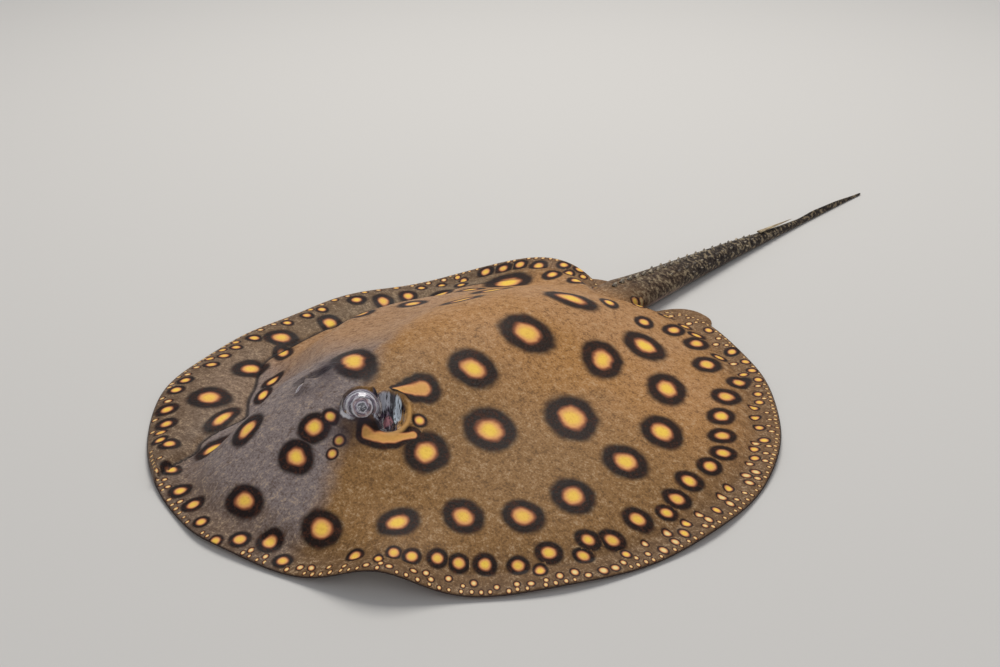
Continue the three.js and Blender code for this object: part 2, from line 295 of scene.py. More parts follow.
# eye mounds, lids and spiracles on the back
def addHead(x, y, z):
    f, radius = eyeForm, eyeForm["radius"]
    for side in (1, -1):
        centre, axis = eyeCentre(side), eyeAxis(side)
        dx, dy = x - centre[0], y - centre[1]
        gap = np.hypot(dx, dy)
        shape = 1 - (dx / f["moundWide"]) ** 2 - ((dy - 1) / f["moundLong"]) ** 2
        mound = centre[2] - f["moundSunk"] + f["moundHigh"] * np.sqrt(np.clip(shape, 0, 1))
        mound = mound + 40 * np.minimum(shape, 0)
        z = np.where(gap < f["moundReach"], softMax(z, mound, f["moundFillet"]), z)
        # the lid lies over the part of the ball that looks away from the axis
        up = np.sqrt(np.clip(radius ** 2 - gap ** 2, 0, None))
        look = np.degrees(np.arccos(np.clip((dx * axis[0] + dy * axis[1] + up * axis[2]) / radius, -1, 1)))
        pastEdge = look - f["lidAngle"][side]
        cover = radius - f["lidGap"] + (f["lidGap"] + f["lidThickness"]) * ease(pastEdge / 9)
        cover = cover + f["lidFold"] * hump(pastEdge - 12, 6)
        roof = centre[2] + np.sqrt(np.clip(cover ** 2 - gap ** 2, 0, None))
        z = np.where((gap < cover) & (roof > z), softMax(z, roof, f["lidFillet"]), z)
        # spiracle: a steep hollow with a raised lip, a valve and folds in it
        u, v = spiracleOffset(x, y, side)
        ring = np.hypot(u, v)
        lip = f["spiracleLip"] * hump(ring - 1.16, 0.17) * (1 + 0.6 * v / np.maximum(ring, 0.2))
        hollow = f["spiracleDepth"] * (1 - ease((ring - 0.5) / 0.52))
        valve = f["valve"] * hump(u + 0.12 + 0.25 * v, 0.2) * ease((0.9 - ring) / 0.3)
        folds = f["innerFolds"] * np.sin(u * 17 + 2 * v) * ease((0.95 - ring) / 0.2)
        z = z + f["open"][side] * (lip - hollow + valve + folds)
    return z


def backHeight(x, y):
    return addHead(x, y, plainTop(x, y))


# offsets along and across every gill slit
def gillOffsets(x, y):
    f, offsets = bellyForm, []
    for side in (1, -1):
        for i in range(f["gills"]):
            a = side * (f["gillTurn"] + i * f["gillStepTurn"])
            dx = x - side * (f["gillX"] - i * f["gillStepX"])
            dy = y - f["gillY"] - i * f["gillStepY"]
            along, across = dx * math.cos(a) + dy * math.sin(a), -dx * math.sin(a) + dy * math.cos(a)
            offsets.append((np.abs(along), across - 0.02 * along ** 2))
    return offsets


# a slightly curved line across the belly
def mouthLine(x, y, width):
    bent = hump((y - bellyForm["mouthY"] - 3 * hump(x, 9)) / width, 1)
    return bent * ease((bellyForm["mouthHalf"] - np.abs(x)) / 5)


def onBelly(x, y, atX, atY, wide, long):
    return hump(np.hypot((x - atX) / wide, (y - atY) / long), 1)


def bellyHeight(x, y):
    f = bellyForm
    turn, share = polar(x, y)
    free = 0.8 * ease((share - 0.9) / 0.08) + 0.7 * ease((share - 0.98) / 0.02)
    z = marginLift(turn, share) * ease((share - 0.7) / 0.1) + free
    lips = hump((y - f["mouthY"]) / 5, 1) * ease((f["lipHalf"] - np.abs(x)) / 6)
    z = z + f["mouthHollow"] * onBelly(x, y, 0, f["mouthY"] - 2, 30, 15)
    z = z + f["mouthDepth"] * mouthLine(x, y, 1.9) - f["lipHigh"] * lips
    for side in (1, -1):
        nostril = onBelly(x, y, side * f["nostrilX"], f["nostrilY"], 3.6, 2.2)
        z = z + f["nostrilDepth"] * nostril
    for along, across in gillOffsets(x, y):
        z = z + f["gillDepth"] * hump(across, 1.0) * ease((5.4 - along) / 2)
    vent = onBelly(x, y, spineX(f["ventY"]), f["ventY"], 2.4, 6.5)
    return np.maximum(z + f["ventDepth"] * vent, 0)


# skin: disc
skinMesh = {
    "segments": 432, "backRings": 100, "bellyRings": 34,
    # where the faces are finer: x, y and reach
    "eyePatches": [(27, -101, 27), (-27, -101, 27)], "eyeCuts": 2,
    "bellyPatches": [(0, -152, 27), (spineX(163.0), 163, 12), (44, -74, 34), (-44, -74, 34)], "bellyCuts": 2,
}


# finer faces near some places, on the back or on the belly
def subdivideNear(piece, patches, upper, cuts):
    mesh = piece.data
    centres = readAll(mesh.polygons, "center", width=3)
    chosen = np.zeros(len(centres), bool)
    for x, y, reach in patches:
        chosen |= np.hypot(centres[:, 0] - x, centres[:, 1] - y) < reach
    chosen &= (centres[:, 2] > 0) == upper
    makeActive(piece)
    toMode("EDIT")
    bpy.ops.mesh.select_all(action="DESELECT")
    toMode("OBJECT")
    mesh.polygons.foreach_set("select", chosen)
    toMode("EDIT")
    bpy.ops.mesh.select_mode(type="FACE")
    bpy.ops.mesh.subdivide(number_cuts=cuts)
    toMode("OBJECT")


deselectAll()
rings = skinMesh["backRings"] + skinMesh["bellyRings"]
bpy.ops.mesh.primitive_uv_sphere_add(segments=skinMesh["segments"], ring_count=rings, radius=1)
skin = bpy.context.object
skin.name = "skin"
co = pointsOf(skin)
row = np.rint(np.arccos(np.clip(co[:, 2], -1, 1)) * rings / np.pi)
turn = np.degrees(np.arctan2(co[:, 0], -co[:, 1]))
onBack = row <= skinMesh["backRings"]
backStep = row / skinMesh["backRings"]
bellyStep = (rings - row) / skinMesh["bellyRings"]
share = np.where(onBack, 1.25 * backStep - 0.25 * backStep ** 3, 1.3 * bellyStep - 0.3 * bellyStep ** 3)
radius = share * discEdge(turn)
flat = np.where(row < skinMesh["backRings"], 1.0, np.where(row > skinMesh["backRings"], -1.0, 0.0))
setPoints(skin, np.stack([radius * np.sin(np.radians(turn)), -radius * np.cos(np.radians(turn)), flat], 1))
subdivideNear(skin, skinMesh["eyePatches"], True, skinMesh["eyeCuts"])
subdivideNear(skin, skinMesh["bellyPatches"], False, skinMesh["bellyCuts"])
co = pointsOf(skin)
x, y = co[:, 0], co[:, 1]
z = np.where(co[:, 2] > 0.5, backHeight(x, y), bellyHeight(x, y))
setPoints(skin, np.stack([x, y, z], 1) * mm)
print("disc shaped,", len(co), "points")


# skin: tail and pelvic fins, joined into the disc
tailMesh = {
    "around": 40, "along": 330, "start": 118, "slimTo": 550, "rootFlat": 0.625, "tipFlat": 0.92,
    "foldFrom": 426, "foldEase": 40, "foldTo": 552, "foldFade": 60, "foldSharp": 24, "roundedTip": 6,
}
pelvicForm = {
    "away": {1: 42, -1: 35}, "y": 186, "halfWidth": 24, "halfLength": 36, "squareness": 2.5, "turn": 14,
    "thickness": 4.3, "edge": 1.3, "rays": 34, "rayHeight": 0.18, "underside": 0.14,
}


def alongTail(y):
    return np.clip((y - form["tailRoot"]) / (tailMesh["slimTo"] - form["tailRoot"]), 0, 1)


def tailWidth(y):
    return form["tipWidth"] + (form["tailWidth"] - form["tipWidth"]) * (1 - alongTail(y)) ** 2


def tailHeight(y):
    flat, rounder = tailMesh["rootFlat"], tailMesh["tipFlat"]
    return tailWidth(y) * (flat + (rounder - flat) * ease(alongTail(y) / 0.5))


deselectAll()
bpy.ops.mesh.primitive_grid_add(x_subdivisions=tailMesh["around"], y_subdivisions=tailMesh["along"], size=2)
tail = bpy.context.object
tail.name = "tail_sleeve"
co = pointsOf(tail)
angle = (co[:, 0] + 1) * np.pi
step = (co[:, 1] + 1) / 2
y = tailMesh["start"] + (form["tailTip"] - tailMesh["start"]) * step
up = np.sin(angle)
foldShape = ease((y - tailMesh["foldFrom"]) / tailMesh["foldEase"])
foldShape = foldShape * ease((tailMesh["foldTo"] - y) / tailMesh["foldFade"])
fold = form["tailFold"] * foldShape * np.clip(up, 0, 1) ** tailMesh["foldSharp"]
halfWide, halfHigh = tailWidth(y) / 2, tailHeight(y) / 2
pastBend = (y - (form["tailTip"] - tailMesh["roundedTip"])) / tailMesh["roundedTip"]
closeTip = np.sqrt(np.clip(1 - pastBend ** 2, 0, 1) * (pastBend > 0) + (pastBend <= 0))
z = np.maximum(0.3, halfHigh * (0.9 + up * closeTip) + fold * closeTip)
x = spineX(y) - halfWide * np.cos(angle) * closeTip
setPoints(tail, np.stack([x, y, z], 1) * mm)
makeActive(tail)
toMode("EDIT")
bpy.ops.mesh.select_all(action="SELECT")
bpy.ops.mesh.remove_doubles(threshold=0.00001)
bpy.ops.mesh.select_mode(type="VERT")
bpy.ops.mesh.select_all(action="DESELECT")
bpy.ops.mesh.select_non_manifold()
bpy.ops.mesh.fill_holes(sides=0)
bpy.ops.mesh.select_all(action="SELECT")
bpy.ops.mesh.normals_make_consistent(inside=False)
toMode("OBJECT")


def makePelvic(side):
    f = pelvicForm
    deselectAll()
    bpy.ops.mesh.primitive_uv_sphere_add(segments=72, ring_count=36, radius=1)
    fin = bpy.context.object
    fin.name = "pelvic_sleeve"
    co = pointsOf(fin)
    turn = np.arctan2(co[:, 0], -co[:, 1])
    share = 1 - (2 * np.arccos(np.clip(np.abs(co[:, 2]), 0, 1)) / np.pi - 1) ** 2
    power = f["squareness"]
    wide = np.abs(np.sin(turn) / f["halfWidth"]) ** power
    long = np.abs(np.cos(turn) / f["halfLength"]) ** power
    radius = share * (wide + long) ** (-1 / power)
    px, py = radius * np.sin(turn), -radius * np.cos(turn)
    back = math.radians(f["turn"]) * side
    x = spineX(float(f["y"])) + side * f["away"][side]
    x = x + px * math.cos(back) + py * math.sin(back)
    y = f["y"] - px * math.sin(back) + py * math.cos(back)
    high = f["edge"] + (f["thickness"] - f["edge"]) * (1 - share ** 2)
    rayed = f["rayHeight"] * np.sin(turn * f["rays"])
    rayed = rayed * ease((share - 0.45) / 0.3) * ease((1 - share) / 0.06)
    z = np.where(co[:, 2] > 0.01, high + rayed, np.where(co[:, 2] < -0.01, f["underside"], 0.7))
    setPoints(fin, np.stack([x, y, z], 1) * mm)
    return fin


def joinInto(body, other):
    makeActive(body)
    join = body.modifiers.new("join", "BOOLEAN")
    join.operation = "UNION"
    join.solver = "EXACT"
    join.object = other
    bpy.ops.object.modifier_apply(modifier="join")
    bpy.data.objects.remove(other)


for side in (1, -1):
    joinInto(skin, makePelvic(side))
joinInto(skin, tail)
print("tail and pelvic fins joined,", len(skin.data.polygons), "faces")


# soften the crease where tail and fins meet the disc
def smoothCrease(reach, times):
    co = pointsOf(skin) / mm
    x, y, z = co[:, 0], co[:, 1], co[:, 2]
    disc = np.where(polar(x, y)[1] < 1.02, plainTop(x, y), -20)
    side = np.abs(x - spineX(y))
    lift = 1 - np.clip(side / (tailWidth(y) / 2), 0, 1) ** 2
    tailTop = tailHeight(y) / 2 * (0.9 + np.sqrt(lift))
    near = (np.abs(disc - tailTop) < reach) & (side < tailWidth(y) / 2 + 1.5) & (y > 135) & (z > 2)
    selectPoints(skin, near)
    bpy.context.tool_settings.mesh_select_mode = (True, False, False)
    makeActive(skin)
    toMode("EDIT")
    bpy.ops.mesh.select_mode(type="VERT")
    bpy.ops.mesh.vertices_smooth(factor=0.5, repeat=times)
    toMode("OBJECT")


smoothCrease(reach=5, times=10)
makeActive(skin)
toMode("EDIT")
bpy.ops.mesh.select_all(action="SELECT")
bpy.ops.mesh.dissolve_degenerate(threshold=0.00006)
toMode("OBJECT")
# a point with two edges only would make a folded pair of triangles
ends = readAll(skin.data.edges, "vertices", int, 2)
selectPoints(skin, np.bincount(ends.ravel(), minlength=len(skin.data.vertices)) == 2)
toMode("EDIT")
bpy.ops.mesh.dissolve_verts()
bpy.ops.mesh.select_all(action="DESELECT")
bpy.ops.mesh.select_non_manifold()
toMode("OBJECT")
print("places where the skin isn't closed:", sum(v.select for v in skin.data.vertices))
bpy.ops.object.shade_smooth()


# markings: where the eye spots lie
# x, y, outer radius in millimetres; then, where a spot isn't round, its stretch and the way it points.
# The larger ones stand as they do on this animal; the rows along the margin are worked out.

spots = {
    "large": [
        (-89, 133, 18), (7, 92, 18), (32, 21, 17.5), (67, 53, 16.3, 1.7, 122), (64, 101, 16.3, 1.35, 124),
        (38, -33, 14.5), (105, 70.5, 15.5, 1.6, 120), (75, -57, 15.5), (96, -10, 17.4, 1.25, 130),
        (133, 29, 14, 1.2, 124), (64.5, -97, 12.8, 1.1, 98), (-16.5, -79.5, 18.5, 2.3, 156), (138, -12, 13.2),
        (137.5, -56.5, 12), (107, -111, 11, 1.15, 4), (129, -87.5, 11, 1.15, 31), (86, -139, 10.8, 1.2, 70),
        (56, -166.5, 10.8, 1.3, 5), (7, -180, 10.3, 1.6, 4), (14, -148.5, 10.4, 1.4, 174), (9, -131, 9.8, 1.2, 172),
        (-37.5, -144, 11.2, 1.57, 128), (-67, -150, 11.2, 1.7, 111), (-94, -123.5, 10.3, 3, 107), (-120, -115, 14),
        (-138.5, -69, 12, 1.4, 93), (-143, -38, 10, 2, -38), (-160, -26.5, 11, 1.25, 60), (-157, 16, 9.5),
        (-124, 96, 10), (-111.5, -71, 7.4, 1.8, 102), (-101, -87, 8, 2.2, 127), (169, -39, 8.3, 1.15, 27),
        (-42, 38, 14.5), (-60, 86, 15), (-97, 100, 12), (-117, 62, 12.5), (-117, 12, 10.5), (-94, 40, 11),
    ],
    "middle": [
        (10, 130, 10, 2.2, 130), (37, 135.5, 9.4, 2.2, 117), (48, 155, 10, 2.2, 108), (66.5, 157, 10.8, 2.2, 103),
        (91.5, 134, 12, 2.1, 102), (83, 176.5, 6.2, 1.4, 104), (113.5, 139.5, 9, 1.9, 94),
        (124.5, 108.5, 10.8, 1.9, 96), (138.5, 82.5, 9.7, 1.9, 95), (151.5, 65, 8.6, 1.9, 85),
        (162, 51, 7.8, 1.7, 77), (165.7, 32.3, 7.8, 1.4, 91), (167.4, 10, 8.2, 1.15, 66), (172, -8, 7.8, 1.2, 46),
        (175, -21, 6, 1.2, 63), (169, -61, 7, 1.2, 35), (161, -71.5, 6.8, 1.2, 33), (165.5, -80.5, 5.5, 1.3, 35),
        (152.7, -93.3, 7, 1.2, 51), (147, -111, 5.9, 1.05, 52), (157, -105, 4.5, 1.2, 128),
        (134.6, -123, 6.3, 1.05, 28), (125, -132.7, 5.7, 1.05, 47), (116.3, -139.5, 5.9, 1.15, 109),
        (108.3, -150, 5.4, 1.2, 108), (101, -155.5, 4.6, 1.15, 133), (100, -165.4, 4, 2, 138),
        (85, -168.5, 5, 1.1, 140), (-44, -189, 7), (-25, -193, 6.5), (-7, -200, 5), (13, -205, 4.5), (23, -196, 6),
        (37, -187, 7.5), (53, -191, 5.5), (-129, -141, 7.5), (-113, -152, 7.5), (-146, -123, 6), (-153, -111, 6),
        (-97, -167, 5.5), (-87, -167, 7), (-66, -180, 6), (-169, 52, 7.5), (-125, 146, 7), (-114, 154, 7),
        (-104, 162, 6.5), (-89, 167, 7), (-74, 179, 6), (-63, 185, 5.5), (10, 165, 5), (16, 172, 4), (3, 176, 4),
    ],
    "small": [
        (55, 188, 4), (98, 171, 4), (109, 162.5, 4.2), (119.5, 154, 3.8), (130, 137.6, 3.6), (136.5, 129.5, 3.4),
        (146, 110, 4, 2, 84), (155, 101.3, 4.2), (166.5, 89, 4), (168, 76, 3.6), (174, 67.3, 3.7),
        (183, 55, 3.3, 1.5, 3), (186.5, 43, 3.3, 1.4, 5), (181.6, 29, 3.6), (191.5, 16.3, 3.3, 1.6, 159),
        (190, 5, 3.6, 1.8, 161), (192.7, -6.4, 3.3, 1.8, 160), (190.8, -26, 3.9, 1.7, 161),
        (191.7, -35.4, 3.2, 1.6, 166), (191.4, -45.3, 3.3, 1.5, 172), (167.6, -101.8, 2.9, 1.5, 139),
        (171, -94, 3.3, 1.5, 146), (177.6, -91, 2.4), (180.3, -82, 3.3), (183, -75.6, 3), (139.3, -136, 3, 1.5, 136),
        (129, -144, 2.8, 1.6, 127), (121, -152, 2.6, 1.8, 124), (117.7, -157.5, 2.4), (110, -167, 2.5),
        (100.5, -174, 2.3), (161, -116.4, 2.5), (70.3, -185.7, 3, 1.5, 150), (64.7, -188.6, 2.5),
    ],
    "dots": [(27, -128, 3.8), (29.5, -135.5, 3.6), (47.5, -86, 4.4), (12, -121.5, 5.6, 1.4, 176)],
    # chains of joined spots, with the share of their core: x, y, outer radius
    "chains": [
        (0.43, [(32.5, -70, 11), (31, -73.5, 9), (27.5, -79, 5.6), (24.5, -83.5, 3.4)]),
        (0.39, [(35.3, -115.6, 5.6), (39.4, -113, 6.4), (43.4, -109.8, 6.6), (47, -105.4, 6), (49.6, -100.6, 4.6),
                (52, -95.4, 5)]),
    ],
}
# rows along the margin: how far in, spacing, outer radius, how far out of line, first and last direction
marginRows = [
    (2.6, 5.2, 1.6, 0.8, -30, 180), (3.4, 5.2, 2.3, 0.6, -180, -30),
    (6.8, 9, 2.2, 2, -30, 180), (9, 13, 3.4, 1.5, -180, -30),
    (14, 15, 3.2, 3, 70, 180), (17, 17, 5.4, 2.5, -180, -60),
    (23, 17, 5.4, 3, 150, 176), (29, 26, 8, 4, -165, -112),
]
spotRule = {
    "seed": 11, "hueSeed": 3, "core": 0.45, "smallCore": 0.17, "small": 7, "stretchInRows": 1.35, "clearOfTail": 5,
    "straw": 3.4,
}


# the core takes up more of a small spot
def coreShare(r):
    return spotRule["core"] + spotRule["smallCore"] * float(ease((spotRule["small"] - r) / 4))


# every spot as x1, y1, r1, x2, y2, r2, stretch, turn, share of the core
def allSpots():
    draw = random.Random(spotRule["seed"])
    rows = []
    for kind in ("large", "middle", "small", "dots"):
        for spot in spots[kind]:
            x, y, r = spot[:3]
            stretch, turn = spot[3:] if len(spot) > 3 else (1 + 0.08 * draw.random(), draw.uniform(0, 180))
            rows.append([x, y, r, x, y, r, stretch, turn, coreShare(r)])
    for share, chain in spots["chains"]:
        for first, second in zip(chain, chain[1:]):
            rows.append([*first, *second, 1, 0, share])
    for inset, pitch, outer, loose, first, last in reversed(marginRows):
        turn = first + draw.random() * 3
        while turn < last:
            edge = float(discEdge(np.array(turn)))
            gone = edge - inset + draw.uniform(-0.5, 0.5) * loose
            x, y = gone * math.sin(math.radians(turn)), -gone * math.cos(math.radians(turn))
            r = outer * draw.uniform(0.8, 1.15)
            clear = min(math.hypot(x - s[0], y - s[1]) - s[2] for s in rows)
            if clear > r * 0.9 and float(fromTail(np.array(turn))) > spotRule["clearOfTail"]:
                inward = math.degrees(math.atan2(y, x))
                rows.append([x, y, r, x, y, r, spotRule["stretchInRows"], inward, coreShare(r)])
            turn += math.degrees(pitch / edge) * draw.uniform(0.85, 1.2)
    return np.array(rows, float)


# offset of each place from its nearest spot, in shares of that spot's radius
def nearestSpot(x, y, rows):
    best = np.full(len(x), 9.0)
    pick = np.zeros(len(x), int)
    window = 45
    for i, row in enumerate(rows):
        near = (np.abs(x - (row[0] + row[3]) / 2) < window) & (np.abs(y - (row[1] + row[4]) / 2) < window)
        u, v = spotOffset(x[near], y[near], row[None, :])
        size = np.hypot(u, v)
        closer = size < best[near]
        where = np.flatnonzero(near)[closer]
        best[where] = size[closer]
        pick[where] = i
    return best, pick


def spotOffset(x, y, rows):
    x1, y1, r1, x2, y2, r2, stretch, turn = rows[:, :8].T
    dx, dy = x2 - x1, y2 - y1
    length = dx ** 2 + dy ** 2
    t = np.clip(((x - x1) * dx + (y - y1) * dy) / np.where(length > 0, length, 1), 0, 1)
    ox, oy = x - x1 - dx * t, y - y1 - dy * t
    r = r1 + (r2 - r1) * t
    a = np.radians(turn)
    along, across = ox * np.cos(a) + oy * np.sin(a), -ox * np.sin(a) + oy * np.cos(a)
    return along / (r * np.sqrt(stretch)), across / (r / np.sqrt(stretch))


mesh = skin.data
loopPoint = readAll(mesh.loops, "vertex_index", int)
faceSize = readAll(mesh.polygons, "loop_total", int)
faceCentre = readAll(mesh.polygons, "center", width=3) / mm
faceNormal = readAll(mesh.polygons, "normal", width=3)
faceOfLoop = np.repeat(np.arange(len(faceSize)), faceSize)
co = pointsOf(skin) / mm
loopX, loopY = co[loopPoint, 0], co[loopPoint, 1]

spotRows = allSpots()
size, pick = nearestSpot(faceCentre[:, 0], faceCentre[:, 1], spotRows)
picked = spotRows[pick[faceOfLoop]]
u, v = spotOffset(loopX, loopY, picked)
away = size[faceOfLoop] > 3
u, v = np.where(away, 4, u), np.where(away, 0, v)


# the unwrap for baking: back and belly side by side
bakeShift, bakeSpan = 215, 880
faceDown = faceNormal[faceOfLoop, 2] < 0
dropUvs(skin)
addUv(skin, "OFBake", (loopX + bakeShift) / bakeSpan + np.where(faceDown, 0.5, 0), (loopY + bakeShift) / bakeSpan)
addUv(skin, "spotOffset", u, v)
hue = np.random.default_rng(spotRule["hueSeed"]).random(len(spotRows))
hue[spotRows[:, 0] != spotRows[:, 3]] = 2        # joined spots are tan
hue[spotRows[:, 2] < spotRule["straw"]] = -1     # the tiniest are straw
addUv(skin, "spotKind", picked[:, 8], hue[pick[faceOfLoop]])
loopTurn, loopShare = polar(loopX, loopY)
fromMargin = discEdge(loopTurn) * (1 - loopShare)
addUv(skin, "margin", loopTurn * 3.55, np.where((fromMargin < -0.3) & (loopY > 120), 9, fromMargin))
loopFold = foldShare(loopTurn)
foldStrength = ease((loopTurn + 156) / 18) * ease((1.03 - loopFold) / 0.1)
addUv(skin, "foldLine", np.clip((loopShare - loopFold) * discEdge(loopTurn), -30, 30), foldStrength)
mesh.uv_layers["OFBake"].active_render = True


pointNormal = readAll(mesh.vertices, "normal", width=3)
x, y = co[:, 0], co[:, 1]
offSpine = np.abs(x - spineX(y)) / (tailWidth(y) / 2 + 1)
tailness = ease((y - 160) / 46) * ease((1.25 - offSpine) / 0.25)
tailness = np.maximum(tailness, ease((y - 225) / 5))
bellySide = ease((-pointNormal[:, 2] - 0.15) / 0.5) * (1 - 0.75 * ease((y - 215) / 60))
addMask(skin, "belly", bellySide)
addMask(skin, "tailness", tailness)


# painted shade round the eyes: how dark, from, to, width
shadowForm = [
    (0.75, (22, -122), (30, -124), 9), (0.8, (-46, -77), (-20, -96), 6), (0.45, (-24, -112), (-12, -104), 10),
    (0.5, (-33, -92), (-38, -98), 8), (0.7, (12, -100), (14, -112), 5),
]
shade = np.zeros(len(x))
for amount, (x1, y1), (x2, y2), width in shadowForm:
    dx, dy = x2 - x1, y2 - y1
    t = np.clip(((x - x1) * dx + (y - y1) * dy) / (dx * dx + dy * dy), 0, 1)
    shade = shade + amount * hump(np.hypot(x - x1 - dx * t, y - y1 - dy * t), width)
centre = eyeCentre(1)
# painted shade in the crease round the edge of the left eye's lid
shade = shade + 0.8 * hump(np.hypot(x - centre[0], y - centre[1]) - 11, 1.8)
addMask(skin, "shade", np.clip(shade, 0, 1) * (1 - bellySide))
# pale sickle under the left eye
reach = np.linalg.norm(co - centre, axis=1) - eyeForm["radius"]
around = np.degrees(np.arctan2(y - centre[1], x - centre[0])) % 360
addMask(skin, "sickle", hump(reach - 0.7, 1.3) * hump(around - 258, 42))
# mouth, nostrils, gill slits and vent on the underside
slits = mouthLine(x, y, 1.7) + 0.4 * onBelly(x, y, 0, bellyForm["mouthY"] - 1, 26, 7)
for side in (1, -1):
    slits = slits + 0.9 * onBelly(x, y, side * bellyForm["nostrilX"], bellyForm["nostrilY"], 4, 2.4)
for along, across in gillOffsets(x, y):
    slits = slits + 0.95 * hump(across, 1.9) * ease((6.6 - along) / 2)
slits = slits + 0.9 * onBelly(x, y, spineX(bellyForm["ventY"]), bellyForm["ventY"], 2, 5.5)
addMask(skin, "slits", np.clip(slits, 0, 1) * (pointNormal[:, 2] < 0.2))
# place in the nearer spiracle, in shares of its half axes
u, v = spiracleOffset(x, y, 1)
uRight, vRight = spiracleOffset(x, y, -1)
nearLeft = x > 0
place = np.stack([np.where(nearLeft, u, -uRight), np.where(nearLeft, v, vRight), np.zeros(len(x))], 1)
length = np.linalg.norm(place, axis=1)
place = place / np.maximum(1, length / 4)[:, None]
layer = mesh.attributes.new("spiracleOffset", "FLOAT_VECTOR", "POINT")
layer.data.foreach_set("vector", place.astype(np.float32).ravel())
print("markings laid out,", len(spotRows), "spots")


# shader groups
def makeGroup(name, inputs, outputs):
    group = bpy.data.node_groups.new(name, "ShaderNodeTree")
    for label, kind, value in inputs:
        socket = group.interface.new_socket(label, in_out="INPUT", socket_type=kind)
        if value is not None:
            socket.default_value = value
    for label, kind in outputs:
        group.interface.new_socket(label, in_out="OUTPUT", socket_type=kind)
    return group, group.nodes.new("NodeGroupInput"), group.nodes.new("NodeGroupOutput")


class Wiring:
    # short ways to add and join nodes in one tree
    def __init__(self, tree):
        self.tree = tree

    def add(self, kind, **settings):
        node = self.tree.nodes.new("ShaderNode" + kind)
        for key, value in settings.items():
            setattr(node, key, value)
        return node

    def put(self, value, socket):
        if isinstance(value, bpy.types.NodeSocket):
            self.tree.links.new(value, socket)
        else:
            socket.default_value = value

    def fill(self, node, **values):
        for label, value in values.items():
            self.put(value, node.inputs[label])
        return node

    def math(self, operation, *values, clamp=False):
        node = self.add("Math", operation=operation, use_clamp=clamp)
        for value, socket in zip(values, node.inputs):
            self.put(value, socket)
        return node.outputs[0]

    def plus(self, a, b):
        return self.math("ADD", a, b)

    def minus(self, a, b):
        return self.math("SUBTRACT", a, b)

    def times(self, a, b):
        return self.math("MULTIPLY", a, b)

    def timesPlus(self, a, b, c):
        return self.math("MULTIPLY_ADD", a, b, c)

    def split(self, vector):
        node = self.add("SeparateXYZ")
        self.put(vector, node.inputs[0])
        return node.outputs["X"], node.outputs["Y"]

    def lengthOf(self, vector):
        node = self.add("VectorMath", operation="LENGTH")
        self.put(vector, node.inputs[0])
        return node.outputs["Value"]

    def mapped(self, vector, scale, location=(0, 0, 0)):
        return self.fill(self.add("Mapping"), Vector=vector, Scale=scale, Location=location).outputs[0]

    def mix(self, factor, a, b):
        node = self.add("Mix", data_type="RGBA")
        self.put(factor, node.inputs["Factor"])
        self.put(a, node.inputs[6])
        self.put(b, node.inputs[7])
        return node.outputs[2]

    # lay one colour over another, as strongly as the mask and the share say
    def lay(self, mask, share, base, over):
        return self.mix(self.times(mask, share), base, over)

    def ramp(self, factor, stops):
        node = self.add("ValToRGB")
        node.color_ramp.interpolation = "EASE"
        while len(node.color_ramp.elements) < len(stops):
            node.color_ramp.elements.new(0.5)
        for element, (place, colour) in zip(node.color_ramp.elements, stops):
            element.position = place
            element.color = colour
        return self.fill(node, Fac=factor).outputs["Color"]

    def remap(self, value, low, high, to0=0.0, to1=1.0):
        node = self.fill(self.add("MapRange", interpolation_type="SMOOTHSTEP"), Value=value)
        for label, number in (("From Min", low), ("From Max", high), ("To Min", to0), ("To Max", to1)):
            self.put(number, node.inputs[label])
        return node.outputs["Result"]

    def noise(self, vector, scale, detail, rough):
        node = self.fill(self.add("TexNoise"), Vector=vector, Scale=scale, Detail=detail, Roughness=rough)
        return node.outputs["Fac"]

    def voronoi(self, vector, scale):
        return self.fill(self.add("TexVoronoi"), Vector=vector, Scale=scale).outputs["Distance"]

    def bump(self, shader, height, distance, strength=1.0):
        node = self.fill(self.add("Bump"), Height=height, Distance=distance, Strength=strength)
        self.put(node.outputs["Normal"], shader.inputs["Normal"])


# a colour as it looks on screen, as the shader wants it
def tint(red, green, blue):
    def toLinear(c):
        c /= 255
        return c / 12.92 if c <= 0.04045 else ((c + 0.055) / 1.055) ** 2.4
    return (toLinear(red), toLinear(green), toLinear(blue), 1)


skinColours = {
    # the grey below is painted reflected light
    "warm": tint(176, 126, 71), "pink": tint(184, 136, 89), "olive": tint(128, 94, 50), "reflectionGrey": tint(134, 123, 122),
    "speckDark": tint(80, 58, 40), "speckPale": tint(214, 184, 148),
    "margin": tint(108, 84, 62), "edgeLine": tint(60, 48, 44), "fold": tint(112, 98, 78),
    "gold": tint(255, 212, 84), "peach": tint(232, 164, 100), "burnt": tint(150, 88, 58), "ring": tint(22, 13, 14),
    "tan": tint(226, 168, 92), "straw": tint(244, 220, 150),
    "shade": tint(58, 48, 54), "tailDark": tint(60, 52, 46), "tailPale": tint(158, 140, 112),
    "belly": tint(226, 214, 204), "bellyEdge": tint(142, 122, 112), "bellyPink": tint(222, 186, 176),
    # the dark wet colour below is painted shade in the spiracle hollow; the pale wet one and the silver below are
    # painted glints there
    "hollowShade": tint(26, 20, 28), "hollowGlint": tint(222, 232, 240), "flesh": tint(206, 156, 92),
    "fleshRed": tint(150, 100, 106), "fleshDark": tint(112, 74, 72), "violet": tint(92, 76, 92),
    "silver": tint(168, 168, 176), "lidPale": tint(206, 202, 204),
}
skinLook = {
    "grainScale": 760.0, "roughness": 0.46, "specular": 0.08, "coatRoughness": 0.2,
    "bumpStrength": 0.5, "bumpDistance": 0.0006,
}

